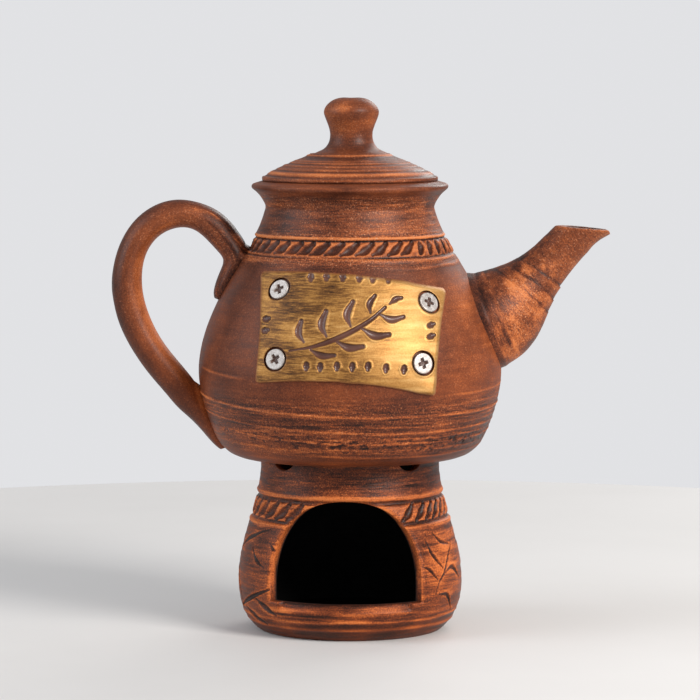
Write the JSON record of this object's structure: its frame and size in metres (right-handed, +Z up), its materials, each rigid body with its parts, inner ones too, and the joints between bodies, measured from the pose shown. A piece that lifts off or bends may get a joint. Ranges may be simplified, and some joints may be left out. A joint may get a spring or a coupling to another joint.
{
  "type": "teapot with warmer",
  "caption": "Red clay teapot with a loop handle, a tapering spout, a domed lid with a knob and a screwed-on style front plaque, standing on a waisted tealight warmer with an arched door.",
  "frame": {"origin": "centre of the warmer's flat underside, on the common axis of the warmer, the pot and the lid", "axes": "+Z up along that axis, +X towards the spout, -X towards the handle, -Y towards the front with the plaque and the warmer's door"},
  "size_m": [0.231, 0.141, 0.2443],
  "materials": {
    "fired_clay": "satin",
    "gold_paint": "satin",
    "screw_steel": "satin"
  },
  "bodies": {
    "warmer": {"warmer": "fired_clay"},
    "teapot": {"teapot_body": "fired_clay", "teapot_neck": "fired_clay", "spout": "fired_clay", "handle": "fired_clay", "plaque": "gold_paint", "screw_upper_left": "screw_steel", "screw_upper_right": "screw_steel", "screw_lower_left": "screw_steel", "screw_lower_right": "screw_steel"},
    "lid": {"lid": "fired_clay", "lid_knob": "fired_clay"}
  },
  "joints": [
    {"name": "pot_lift", "type": "slide", "parent": "warmer", "child": "teapot", "axis": [0, 0, 1], "range_m": [0, 0.06]},
    {"name": "lid_lift", "type": "slide", "parent": "teapot", "child": "lid", "axis": [0, 0, 1], "range_m": [0, 0.05]}
  ]
}
